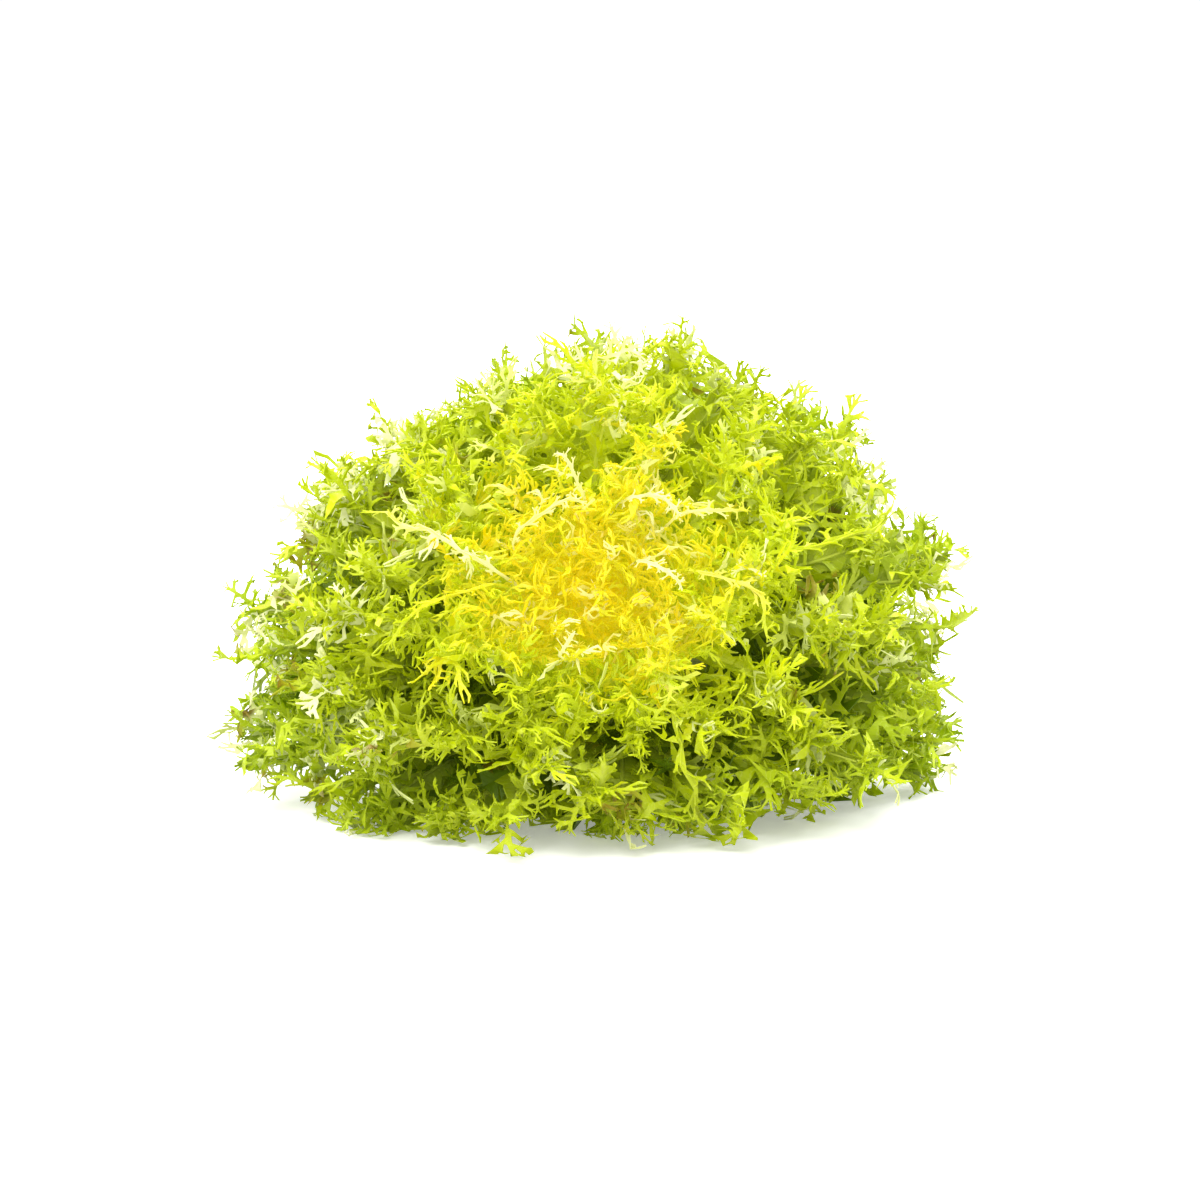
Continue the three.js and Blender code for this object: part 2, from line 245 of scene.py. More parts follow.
def heart_leaf_shell(j):
    share = (j + 0.5) / HEART_LEAVES
    length = HEAD_RADIUS * lerp(0.8, 0.9, scatter(j, 11)) - CROWN_RADIUS
    lean = (HEART_LEAN + 0.12) * math.sqrt(share)
    return Shell(HEART_NUMBER + j, lean, j * GOLDEN_TURN, length, 0, HEART_SWAY)


def lay_in_heart(shell, along, across, lift):
    """As lay_on_shell, for leaves that stand so near the axis that a shell would be too tight."""
    reach = CROWN_RADIUS + along
    share = np.clip(along / shell.length, 0, 1.2)
    lean = shell.lean * lerp(0.45, 1, np.sqrt(share))
    x, y, z = round_place(reach, lean, shell.turn)
    bend = shell.sway * share * np.sin(along / HEART_SWAY_WAVE + some_phase(shell.number, 21))
    across = across + bend
    x = x - math.sin(shell.turn) * across + math.cos(shell.turn) * lift
    y = y + math.cos(shell.turn) * across + math.sin(shell.turn) * lift
    return x, y, z


# --- Modelling helpers ------------------------------------------------------
def select_only(*objects):
    bpy.ops.object.select_all(action="DESELECT")
    for item in objects:
        item.select_set(True)
    bpy.context.view_layer.objects.active = objects[0]


def add_disc(sides, radius):
    bpy.ops.mesh.primitive_circle_add(
        vertices=sides, radius=radius, fill_type="NGON", location=(0, 0, 0)
    )
    return bpy.context.active_object


def edit(item):
    select_only(item)
    bpy.ops.object.mode_set(mode="EDIT")


def leave_edit():
    bpy.ops.object.mode_set(mode="OBJECT")


def face_outwards():
    """Turns the faces of the piece in edit mode the right way round."""
    bpy.ops.mesh.select_all(action="SELECT")
    bpy.ops.mesh.normals_make_consistent(inside=False)


def pick_edge(item, spot):
    """Selects the open edge whose middle is nearest to spot."""
    bpy.ops.mesh.select_all(action="DESELECT")
    mesh = bmesh.from_edit_mesh(item.data)
    target = Vector((*spot, 0))
    rim = [e for e in mesh.edges if e.is_boundary]
    nearest = min(rim, key=lambda e: ((e.verts[0].co + e.verts[1].co) / 2 - target).length)
    nearest.select_set(True)
    bmesh.update_edit_mesh(item.data)


def widen_edge(item, spot, ratio):
    pick_edge(item, spot)
    bpy.ops.transform.resize(value=(1, ratio, 1), center_override=(*spot, 0))


def extrude_by(x, y, z):
    bpy.ops.mesh.extrude_region_move(TRANSFORM_OT_translate={"value": (x, y, z)})


def ahead(spot, heading, step):
    return spot[0] + step * math.cos(heading), spot[1] + step * math.sin(heading)


def extrude_to(item, spot, end):
    pick_edge(item, spot)
    extrude_by(end[0] - spot[0], end[1] - spot[1], 0)


def grow(item, spot, heading, step, ratio, turn=0):
    """Extrudes the open edge at spot along heading, then widens or narrows it and turns it."""
    end = ahead(spot, heading, step)
    extrude_to(item, spot, end)
    bpy.ops.transform.resize(value=(ratio, ratio, 1), center_override=(*end, 0))
    if turn:
        bpy.ops.transform.rotate(value=-turn, orient_axis="Z", center_override=(*end, 0))
    return end


def grow_point(item, spot, heading, step):
    """Extrudes the open edge at spot along heading and closes it to a point."""
    extrude_to(item, spot, ahead(spot, heading, step))
    bpy.ops.mesh.merge(type="CENTER")


def apply_modifier(item, kind, **settings):
    select_only(item)
    modifier = item.modifiers.new(kind.title(), kind)
    for key, value in settings.items():
        setattr(modifier, key, value)
    bpy.ops.object.modifier_apply(modifier=modifier.name)


def smooth(item, degrees):
    """Shades the piece smooth, but for edges sharper than this."""
    select_only(item)
    bpy.ops.object.shade_smooth_by_angle(angle=math.radians(degrees))


def places(item):
    flat = np.empty(len(item.data.vertices) * 3)
    item.data.vertices.foreach_get("co", flat)
    return flat.reshape(-1, 3)


def upward(item):
    """How far each vertex's normal points up."""
    normals = np.empty(len(item.data.vertices) * 3, dtype=np.float32)
    item.data.vertex_normals.foreach_get("vector", normals)
    return normals.reshape(-1, 3)[:, 2]


def packed(values):
    """Numbers in one row, as Blender takes them."""
    return np.ascontiguousarray(values, dtype=np.float32).ravel()


def move_to(item, points):
    item.data.vertices.foreach_set("co", packed(points))
    item.data.update()


def paint(item, name, values):
    """Stores one number for each vertex, for the materials to read."""
    layer = item.data.attributes.get(name) or item.data.attributes.new(name, "FLOAT", "POINT")
    layer.data.foreach_set("value", packed(values))


def map_flat(item):
    """Keeps the flat pattern as the piece's own UV map, in millimetres, for veins to follow."""
    layer = item.data.uv_layers.new(name="pattern")
    points = places(item)
    corners = np.empty(len(item.data.loops), dtype=np.int32)
    item.data.loops.foreach_get("vertex_index", corners)
    layer.data.foreach_set("uv", packed(points[corners][:, :2]))


def copies(model, count, name):
    """One object with count copies of the model's mesh, one after another."""
    select_only(model)
    bpy.ops.object.duplicate(linked=False)
    item = bpy.context.active_object
    item.name = name
    if count > 1:
        apply_modifier(item, "ARRAY", count=count, use_relative_offset=False)
    return item


def join(items, name):
    select_only(*items)
    bpy.ops.object.join()
    item = bpy.context.active_object
    item.name = name
    item.data.name = name
    return item


# --- A flat frond, modelled once for each kind ------------------------------
@dataclass
class FrondKind:
    """Sizes of a frond, in millimetres. Its root is at the origin and its tip lies along +X.

    Widths are its strand's, one step apart. From the step numbered first on, branches stand on both
    sides or on alternate ones, and each splits into prongs. Keel is how far the middle line sinks.
    """

    name: str
    step: float
    widths: tuple
    first: int
    alternate: bool
    branch: float
    branch_width: float
    branch_steps: int
    prongs: int
    keel: float
    seed: int

    @property
    def steps(self):
        return len(self.widths) - 1

    @property
    def length(self):
        return self.steps * self.step + 0.6 * self.branch

    @property
    def half_width(self):
        return max(self.widths) / 2 + 0.8 * self.branch


ANTLER_WIDTHS = (3.0, 2.4, 2.8, 2.4, 2.6, 2.3, 2.1)
HOOKED_WIDTHS = (3.0, 2.4, 2.8, 2.5, 2.4, 2.2)
FINE_WIDTHS = (1.8, 1.4, 1.6, 1.5, 1.5, 1.4, 1.3)
PALM_WIDTHS = (2.2, 2.6, 4.2, 4.8, 4.0)
FRIZZ_WIDTHS = (1.0, 0.8, 0.9, 0.85, 0.8, 0.7)
FILL_WIDTHS = (2.6, 4.6, 4.6, 1.8)
SPRIG_WIDTHS = (1.9, 1.5, 1.9, 1.3, 1.8, 1.5, 1.8, 1.2, 1.4, 1.0)
BLADE_WIDTHS = (3.4, 4.6, 8, 8, 12, 9, 12, 8, 10, 6, 3)
ANTLER = FrondKind("frond_antler", 4.4, ANTLER_WIDTHS, 0, True, 12.5, 2.2, 2, 3, 0, 1)
HOOKED = FrondKind("frond_hooked", 4.2, HOOKED_WIDTHS, 0, True, 11.5, 2.3, 2, 2, 0, 2)
FINE = FrondKind("frond_fine", 3.5, FINE_WIDTHS, 0, True, 9.0, 1.3, 2, 2, 0, 3)
PALM = FrondKind("frond_palm", 4.4, PALM_WIDTHS, 1, False, 8.4, 2.2, 1, 2, 0.8, 4)
FRIZZ = FrondKind("frond_frizz", 2.7, FRIZZ_WIDTHS, 0, True, 5.8, 0.7, 2, 1, 0, 5)
FILL = FrondKind("frond_fill", 5.6, FILL_WIDTHS, 0, False, 8.0, 0, 0, 0, 0.8, 6)
SPRIG = FrondKind("sprig", 5.4, SPRIG_WIDTHS, 1, True, 5.5, 1.0, 2, 2, 0, 7)
BLADE = FrondKind("blade", 9.5, BLADE_WIDTHS, 1, False, 4.5, 0, 0, 0, 1.2, 8)
FROND_KINDS = (PALM, ANTLER, HOOKED, FINE, FRIZZ, FILL, SPRIG, BLADE)
SHEET_THICK = 0.45
MIDDLE_VEIN = 0.8  # how strongly the middle line shows as a vein,
STRAND_VEIN = 0.15  # and the strand beside it
STRAND_SHARE = 0.55


def model_frond(kind):
    bpy.ops.mesh.primitive_plane_add(size=1, location=(0, 0, 0))
    frond = bpy.context.active_object
    frond.name = kind.name
    edit(frond)
    bpy.ops.mesh.select_mode(type="EDGE")
    bpy.ops.mesh.select_all(action="SELECT")
    bpy.ops.transform.resize(value=(kind.step, kind.widths[0], 1), center_override=(0, 0, 0))
    bpy.ops.transform.translate(value=(kind.step / 2, 0, 0))
    spot = (kind.step, 0)
    widen_edge(frond, spot, kind.widths[1] / kind.widths[0])
    for k in range(1, kind.steps):
        spot = grow(frond, spot, 0, kind.step, kind.widths[k + 1] / kind.widths[k])
    for k in range(kind.first, kind.steps):
        half = (kind.widths[k] + kind.widths[k + 1]) / 4
        for side in (-1, 1):
            if not kind.alternate or (side > 0) == (k % 2 == 0):
                start = ((k + 0.5) * kind.step, side * half)
                model_branch(frond, kind, start, side, 2 * k + (side > 0))
    model_end(frond, kind, spot)
    if kind.keel:
        bpy.ops.mesh.select_all(action="SELECT")
        bpy.ops.mesh.bisect(plane_co=(0, 0, 0), plane_no=(0, 1, 0))
    face_outwards()
    leave_edit()
    finish_frond(frond, kind)
    return frond


def finish_frond(frond, kind):
    """Maps and paints the flat frond, sinks its middle line to a keel and gives it thickness."""
    map_flat(frond)
    points = places(frond)
    across = np.abs(points[:, 1])
    middle = across < 0.01
    strand = across < max(kind.widths) * STRAND_SHARE
    paint(frond, "vein", np.where(middle, MIDDLE_VEIN, np.where(strand, STRAND_VEIN, 0)))
    paint(frond, "tip", np.clip(across / kind.half_width, 0, 1))
    points[:, 2] = np.where(middle, -kind.keel, 0)
    move_to(frond, points)
    apply_modifier(frond, "SOLIDIFY", thickness=SHEET_THICK, offset=0)
    paint(frond, "under", np.where((upward(frond) < 0) & (kind.branch_steps > 0), 1, 0))
    smooth(frond, 50)


BRANCH_SIZES = (0.62, 1.12)
BRANCH_ANGLES = (48, 86)
BRANCH_BENDS = (-0.6, 0.8)
FINGER_SIZES = (0.7, 1.3)
FINGER_SPREAD = 2.1


def model_branch(frond, kind, spot, side, number):
    """A side branch: webbed at its root, then a strand that bends and ends in blunt fingers."""
    seed = number + 31 * kind.seed
    tapering = 1.08 - 0.3 * spot[0] / kind.length
    size = kind.branch * lerp(*BRANCH_SIZES, scatter(seed, 61)) * tapering
    heading = side * math.radians(lerp(*BRANCH_ANGLES, scatter(seed, 62)))
    if kind.branch_steps == 0:
        grow_point(frond, spot, heading, size)
        return
    step = size * 0.62 / kind.branch_steps
    first = step * (0.5 if kind.branch_steps > 1 else 1)
    narrowing = kind.branch_width / kind.step
    spot = grow(frond, spot, heading, first, narrowing, heading - side * math.pi / 2)
    for k in range(1, kind.branch_steps):
        turn = -side * lerp(*BRANCH_BENDS, scatter(seed + 5 * k, 63))
        heading += turn
        spot = grow(frond, spot, heading, 1.5 * step, 1.0, turn)
    if kind.prongs == 1:
        grow(frond, spot, heading - side * 0.4, size * 0.38, 0.4)
        return
    spot = grow(frond, spot, heading, size * 0.1, 1.5)
    fork(frond, spot, heading, kind.branch_width * 1.5, size * 0.26, kind.prongs, seed)


def fork(frond, spot, heading, width, size, prongs, seed):
    """Splits the open edge at spot and draws each part of it out to a blunt finger."""
    pick_edge(frond, spot)
    bpy.ops.mesh.subdivide(number_cuts=prongs - 1)
    across = heading + math.pi / 2
    for k in range(prongs):
        share = (k + 0.5) / prongs - 0.5
        start = ahead(spot, across, width * share)
        length = size * lerp(*FINGER_SIZES, scatter(seed + 7 * k, 64))
        grow(frond, start, heading + FINGER_SPREAD * share, length, 0.8)


END_FINGERS = 3
NARROW_END = 3


def model_end(frond, kind, spot):
    """The frond's end widens and splits into fingers."""
    width = kind.widths[-1]
    if kind.prongs == 1:
        grow(frond, spot, 0.3, kind.branch * 0.6, 0.4)
        return
    spread = 1.5 if width < NARROW_END else 1.05
    spot = grow(frond, spot, 0, kind.branch * 0.22, spread)
    fork(frond, spot, 0, width * spread, kind.branch * 0.4, END_FINGERS, 5 + kind.seed)


# --- A rib, modelled once ---------------------------------------------------
RIB_STEPS = 8
RIB_SIDES = 6
RIB_VEIN = 0.9


def model_rib():
    """A rib of unit length and half width along +X. Laid, it has a shallow groove in front."""
    rib = add_disc(RIB_SIDES, 1)
    rib.name = "rib"
    edit(rib)
    bpy.ops.mesh.select_all(action="SELECT")
    bpy.ops.transform.rotate(value=math.pi / 2, orient_axis="Y", center_override=(0, 0, 0))
    bpy.ops.mesh.select_mode(type="FACE")
    for _ in range(RIB_STEPS):
        extrude_by(1 / RIB_STEPS, 0, 0)
    face_outwards()
    leave_edit()
    map_flat(rib)
    corners = len(rib.data.vertices)
    for name, value in (("vein", RIB_VEIN), ("tip", 0), ("under", 0)):
        paint(rib, name, np.full(corners, value))
    smooth(rib, 60)
    return rib


# --- Fronds on a leaf -------------------------------------------------------
@dataclass
class Fronds:
    """One number for each frond of a leaf. Angles are in radians, lengths in millimetres.

    Curl bends a frond along its length and cup across it. Hook bends its branches forward or back.
    """

    along: np.ndarray
    across: np.ndarray
    size: np.ndarray
    sweep: np.ndarray
    rise: np.ndarray
    face: np.ndarray
    curl: np.ndarray
    cup: np.ndarray
    hook: np.ndarray
    twist: np.ndarray
    bow: np.ndarray
    ruffle: np.ndarray
    phase: np.ndarray

    def picked(self, mask):
        return Fronds(*[getattr(self, field.name)[mask] for field in fields(self)])

    def __len__(self):
        return len(self.along)


def rolled(z, radius, angle):
    """Rolls a sheet up about a line at this radius above it. Gives its places along and up."""
    return (radius - z) * np.sin(angle), radius - (radius - z) * np.cos(angle)


EDGE_WAVES = 9  # radians of wave along a frond's edges,
TIP_WAVES = 23  # and of the quicker one at its branches' ends


def curl_fronds(model, kind, fronds, name):
    """Copies of a flat frond, each curled, twisted and turned, and their places from the roots."""
    item = copies(model, len(fronds), name)
    flat = places(item).reshape(len(fronds), -1, 3)
    x, y, z = flat[..., 0], flat[..., 1], flat[..., 2]

    def each(values):
        return values[:, None]

    size = each(fronds.size) / kind.length
    x, y = x * size, y * size
    length = kind.length * size
    half = kind.half_width * size
    share = np.clip(x / length, 0, 1)
    side = y / half
    y = y + each(fronds.bow) * x * share
    wave = np.sin(share * EDGE_WAVES + each(fronds.phase)) * side
    lift = np.sin(share * TIP_WAVES + 2.3 * each(fronds.phase)) * side * side
    z = z + half * each(fronds.ruffle) * (0.6 * wave + 0.8 * lift)
    x = x + each(fronds.hook) * half * side * side
    y, z = rolled(z, half / each(fronds.cup), side * each(fronds.cup))
    y, z = turned(y, z, each(fronds.twist) * share)
    x, z = rolled(z, length / each(fronds.curl), each(fronds.curl) * share)
    y, z = turned(y, z, each(fronds.face))
    x, z = turned(x, z, each(fronds.rise))
    x, y = turned(x, y, each(fronds.sweep))
    return item, x, y, z


SEEDS_A_LEAF = 50


def number_off(shell, count):
    """The numbers of a leaf's fronds, their seeds, and their sides of the rib in turn."""
    n = np.arange(count)
    return n, n + SEEDS_A_LEAF * shell.number, np.where(n % 2 == 0, -1, 1)


def lobe_share(share):
    """How long the fronds are along a leaf: short at its root, longest past its middle."""
    return 0.4 + 0.74 * np.sin(np.pi * 0.84 * share ** 0.8)


def some_curl(seed, stream, least, most):
    """A bend to either side that is never quite straight."""
    way = np.where(scatter(seed, stream) > 0.5, 1, -1)
    return way * lerp(least, most, scatter(seed, stream + 100))


def plan_blade(shell, youth, width, pairs, tuft):
    """Fronds in pairs along the rib, and a dense tuft at the blade's end."""
    n, seed, side = number_off(shell, 2 * pairs + tuft)
    in_tuft = n >= 2 * pairs
    share = np.where(in_tuft, 1, (n // 2) / (pairs - 1))
    length = shell.length - 0.55 * width
    along = length * np.where(in_tuft, lerp(0.8, 1, scatter(seed, 31)), lerp(0.46, 0.92, share))
    size = width * np.where(in_tuft, 0.8, lobe_share(share)) * lerp(0.72, 1.12, scatter(seed, 33))
    paired = side * (lerp(1.25, 0.7, share) + 0.5 * swing(seed, 34))
    return Fronds(
        along=along + np.where(in_tuft, 0, 2.5 * swing(seed, 32)),
        across=side * 0.6,
        size=size,
        sweep=np.where(in_tuft, 1.3 * swing(seed, 34), paired),
        rise=swing(seed, 35) * np.where(in_tuft, 1.3, lerp(0.5, 1.1, share)) + 0.25 * youth,
        face=swing(seed, 36) * lerp(0.4, 1.5, share),
        curl=some_curl(seed, 37, 0.5, lerp(2.0, 2.5, youth)),
        cup=some_curl(seed, 43, 0.4, 2.0),
        hook=0.6 * swing(seed, 44),
        twist=1.5 * swing(seed, 38),
        bow=0.7 * swing(seed, 41),
        ruffle=lerp(0.5, 1.2, scatter(seed, 39)),
        phase=some_phase(seed, 40),
    )


def plan_filling(shell, width, count, low, high, rise=0):
    """Fronds nearer the rib's root, which close the gaps behind the frizzy ones. They are painted
    in full shade.
    """
    n, seed, side = number_off(shell, count)
    share = n / (count - 1)
    return Fronds(
        along=shell.length * lerp(low, high, share) + 3 * swing(seed, 71),
        across=side * 1.0,
        size=width * lerp(0.65, 0.78, share) * lerp(0.85, 1.1, scatter(seed, 72)),
        sweep=side * lerp(1.1, 0.8, share) + 0.3 * swing(seed, 73),
        rise=rise + 0.5 * swing(seed, 74),
        face=0.9 * swing(seed, 75),
        curl=some_curl(seed, 76, 0.3, 1.0),
        cup=some_curl(seed, 43, 0.3, 0.9),
        hook=0.3 * swing(seed, 44),
        twist=0.5 * swing(seed, 77),
        bow=0.2 * swing(seed, 80),
        ruffle=lerp(0.2, 0.6, scatter(seed, 78)),
        phase=some_phase(seed, 79),
    )


RIB_LIFT = 0.55  # a rib is this much flatter than it is wide,
GROOVE_LIFT = 0.45  # and its front is sunk to this share of that


def lay_rib(model, shell, lay, length, root_half, tip_half, name):
    rib = copies(model, 1, name)
    points = places(rib)
    share = np.clip(points[:, 0], 0, 1)
    swelling = 1 - 0.5 * (1 - np.minimum(1, 6 * share))
    half = lerp(root_half, tip_half, np.sqrt(share)) * swelling
    lift = points[:, 2] * half * RIB_LIFT
    lift = np.where(points[:, 2] > 0.9, lift * GROOVE_LIFT, lift)
    x, y, z = lay(shell, share * length, points[:, 1] * half, lift)
    move_to(rib, turn_up(settle(x, y, z)))
    paint_age(rib, x, y, z, shell)
    return rib


BLADE_ROOT = 0.12
BLADE_TIP = 0.88
BLADE_WAVE = 3.2
BLADE_SINK = 0.8
WIRY_BLADE = 0.45


def lay_blade(model, shell, wiry, name):
    """The narrow leaf blade along the rib, with waved and toothed edges."""
    blade = copies(model, 1, name)
    points = places(blade)
    share = np.clip(points[:, 0] / (BLADE.steps * BLADE.step), 0, 1.05)
    phase = some_phase(shell.number, 24)
    edge = points[:, 1] / BLADE.half_width
    waves = np.sin(share * 21 + phase) * edge + 0.9 * np.sin(share * 33 + 2 * phase) * edge * edge
    width = lerp(0.85, 1.15, scatter(shell.number, 25))
    across = points[:, 1] * width * lerp(1, WIRY_BLADE, wiry)
    along = shell.length * lerp(BLADE_ROOT, BLADE_TIP, share)
    lift = points[:, 2] - BLADE_SINK + BLADE_WAVE * waves
    x, y, z = lay_on_shell(shell, along, across, lift)
    move_to(blade, turn_up(settle(x, y, z)))
    # The blade is painted at least half in shade, less so as it gets wirier
    paint_age(blade, x, y, z, shell, 0, 0.5 * (1 - wiry))
    paint(blade, "pale", np.zeros(len(points)))
    return blade


DEEP_BELOW = 0.8  # shares of the head's radius: the shade inside the head starts at this reach,
DEEP_BLEND = 0.3
PALE_ROOT = 0.46  # and the pale roots of the leaves at this one
PALE_BLEND = 0.24
# painted light: leaves high on the head are painted younger and lighter, those low on it older and
# darker
PAINTED_LIGHT_ABOVE = 0.2
TOP_SHADE = 0.6  # the shade is this much weaker at the top of the head


def paint_age(item, x, y, z, shell, shift=0, least_painted_shade=0):
    """Paints age, 0 in the middle of the heart to 1 at the outermost leaves, by the lean from the
    head's axis, with painted light high and low on the head. Paints painted shade by how far inside
    the head a place lies, weaker at the top, and how near its pale root the leaf is."""
    lean = np.arccos(np.clip(z / np.maximum(1, span(x, y, z)), -1, 1))
    own = 0.3 * (shell.lean - lean) + lean
    up = upward_part(y, z) / HEAD_RADIUS
    # Painted light: younger and lighter high on the head, older and darker low on it, with a little
    # tone at random
    shift = shift - PAINTED_LIGHT_ABOVE * np.clip(up - 0.2, -0.3, 0.7) + 0.05 * swing(shell.number, 51)
    paint(item, "age", np.clip(own / OUTER_LEAN + shift, 0, 1))
    reach = span(x, y, z) / HEAD_RADIUS
    root = np.clip((PALE_ROOT - reach) / PALE_BLEND, 0, 1)
    shade = 1 - TOP_SHADE * np.clip(2 * up, 0, 1)
    # Painted shade: darker the further inside the head a place lies, never less than the least
    # share given
    painted_shade = np.clip((DEEP_BELOW - reach) / DEEP_BLEND, least_painted_shade, 1)
    paint(item, "painted_shade", painted_shade * (1 - root) * shade)
    paint(item, "root", root)


def unit(vectors):
    return vectors / np.maximum(1e-9, np.linalg.norm(vectors, axis=-1, keepdims=True))


def leaf_frames(shell, lay, fronds):
    """Each frond's root on its settled leaf, and the ways ahead, to the right and up from there."""
    def place(along, across, lift):
        lifts = np.full(len(fronds), lift)
        return settle(*lay(shell, fronds.along + along, fronds.across + across, lifts))

    root = place(0, 0, 0)
    forward = unit(place(2, 0, 0) - root)
    right = place(0, 2, 0) - root
    right = unit(right - forward * np.sum(right * forward, axis=-1, keepdims=True))
    up = np.cross(forward, right)
    up = up * np.sign(np.sum(up * (place(0, 0, 2) - root), axis=-1, keepdims=True))
    return root, (forward, right, up)


# Painted highlight on pale fronds, kept to the outer part of the head that the light reaches
PALE_FROM = 0.7  # only the outer part of a pale frond is pale, from this share of the head's radius
PALE_FADE = 0.15


def lay_fronds(model, kind, fronds, shell, lay, name):
    item, *steps = curl_fronds(model, kind, fronds, name)
    root, axes = leaf_frames(shell, lay, fronds)
    spots = sum(by[..., None] * axis[:, None] for by, axis in zip(steps, axes))
    move_to(item, turn_up(root[:, None] + spots * MM))
    ahead_by, right_by, up_by = steps
    along = (ahead_by + fronds.along[:, None]).ravel()
    across = (right_by + fronds.across[:, None]).ravel()
    x, y, z = lay(shell, along, across, up_by.ravel())
    each = len(item.data.vertices) // len(fronds)
    shift = np.repeat(0.09 * swing(fronds.phase, 54), each)
    # Filling fronds are painted in full shade, other fronds only by how far inside the head they
    # lie
    paint_age(item, x, y, z, shell, shift, 1 if kind is FILL else 0)
    outer = np.clip((span(x, y, z) / HEAD_RADIUS - PALE_FROM) / PALE_FADE, 0, 1)
    # A painted highlight on some outer fronds, most at the head's left and upper edges
    paint(item, "pale", np.repeat(painted_highlight_share(root, fronds, kind), each) * outer)
    return item


def painted_highlight_share(root, fronds, kind):
    """Here and there a frond is pale, a painted highlight, and more so at the left and upper edges
    of the head, where the light falls.
    """
    x = root[:, 0] / MM / HEAD_RADIUS
    up = (root[:, 2] / MM - CROWN_HEIGHT) / HEAD_RADIUS
    out = np.maximum(0.01, np.hypot(x, up))
    edge = np.clip(2.2 * out - 1, 0, 1) * np.clip(1.05 + (0.6 * up - 0.5 * x) / out, 0, 1.75)
    return np.clip(6 * scatter(fronds.phase, 53) - 5.1 + edge, 0, 1) * (kind is not FILL)


# --- Long leaves ------------------------------------------------------------
LOBE_LENGTH = 30
YOUNG_LOBE_SHARE = 0.8
RIB_HALF_OUTER = 3.9
RIB_HALF_INNER = 2.4
RIB_HALF_TIP = 0.6
SIDE_RIB_SHARE = 0.6
RIB_SHARE = 0.84  # of a leaf's length
WIRY_YOUTH = 0.55  # from this youth leaves get wirier, over this range of it
WIRY_RANGE = 0.45
FRIZZY_YOUTH = 0.68  # and from here on their filling is frizzy too
MIXED_KINDS = (PALM, ANTLER, HOOKED, FINE, FRIZZ)
OUTER_MIX = (0.04, 0.45, 0.51, 0, 0)
INNER_MIX = (0, 0.06, 0.14, 0.3, 0.5)
TOP_MIX = (0, 0.12, 0.16, 0.62, 0.1)


def build_long_leaf(i, models):
    youth = i / (LEAF_COUNT - 1)
    wiry = max(0, youth - WIRY_YOUTH) / WIRY_RANGE
    width = LOBE_LENGTH * lerp(1, YOUNG_LOBE_SHARE, youth)
    name = f"leaf_{i + 1:02d}"
    pieces = []
    for b, shell in enumerate(blade_shells(i)):
        length, half = shell.length * RIB_SHARE, lerp(RIB_HALF_OUTER, RIB_HALF_INNER, youth)
        half *= SIDE_RIB_SHARE if b else 1
        pieces.append(lay_rib(models["rib"], shell, lay_on_shell, length, half, RIB_HALF_TIP, name))
        fronds = plan_blade(shell, youth, width, 3 if b else 5, 5 + round(6 * wiry))
        pieces += lay_mixed(fronds, youth, shell, models, name)
        pieces.append(lay_blade(models[BLADE.name], shell, wiry, name))
        if youth > FRIZZY_YOUTH:
            filling, kind = plan_filling(shell, width * 1.3, 10, 0.34, 0.82, 0.45), FRIZZ
        else:
            filling, kind = plan_filling(shell, width * 1.1, 3, 0.35, 0.62), FILL
        pieces.append(lay_fronds(models[kind.name], kind, filling, shell, lay_on_shell, name))
    pieces += build_sprigs(i + 1, models, name)
    return join(pieces, name + "_frizzy")


def lay_mixed(fronds, youth, shell, models, name):
    """Lays fronds of several kinds: broad on the outer leaves, fine by the heart and at the top."""
    pieces = []
    draw = scatter(np.arange(len(fronds)) + SEEDS_A_LEAF * shell.number, 52)
    _, y, z = round_place(1, shell.lean, shell.turn)
    at_top = min(0.85, max(0, 2.4 * upward_part(y, z) - 1))
    low = 0
    for kind, outer, inner, top in zip(MIXED_KINDS, OUTER_MIX, INNER_MIX, TOP_MIX):
        high = low + lerp(lerp(outer, inner, youth ** 1.5), top, at_top)
        mask = (draw >= low) & (draw < high)
        low = high
        if mask.any():
            own = fronds.picked(mask)
            pieces.append(lay_fronds(models[kind.name], kind, own, shell, lay_on_shell, name))
    return pieces


# --- Stray ends over the heart ----------------------------------------------
SPRIG_REACH = 0.97 * HEAD_RADIUS
SPRIG_FACES = (0, 1.6)  # the turns of a sprig's two strips about its stem
SPRIG_NUMBER = 800
SPRIG_PALENESS = 0.87


@dataclass
class Sprig:
    """A stray leaf end that arches over the head. Its lean and turn, in degrees, each run from a
    first value to a second. Half scales its strips' width, and leaf 0 is the heart."""

    leaf: int
    lean: tuple
    turn: tuple
    half: float
    pale: float

    @property
    def down(self):
        return math.radians(self.lean[1] - self.lean[0])

    @property
    def mean_lean(self):
        return math.radians(sum(self.lean) / 2)

    @property
    def sideways(self):
        return math.radians(self.turn[1] - self.turn[0]) * math.sin(self.mean_lean)

    @property
    def length(self):
        return SPRIG_REACH * math.hypot(self.down, self.sideways)

    def lay(self, along, across, lift):
        """Millimetres along the stem, to its right and out of it, to a place in the head."""
        share = np.clip(along / self.length, -0.1, 1.2)
        lean = np.radians(lerp(*self.lean, share))
        turn = np.radians(lerp(*self.turn, share))
        rise = np.sqrt(np.clip(share, 0, 1)) - 0.3 * np.clip(share, 0, 1) ** 2
        reach = SPRIG_REACH * (0.78 + 0.32 * rise)
        across = across + 0.05 * self.length * np.sin(5 * share + 9 * self.half)
        size = math.hypot(self.down, self.sideways)
        lean = lean - across * (self.sideways / size) / reach
        turn = turn + across * (self.down / size) / (reach * np.maximum(0.15, np.sin(lean)))
        return round_place(reach + lift, lean, turn)


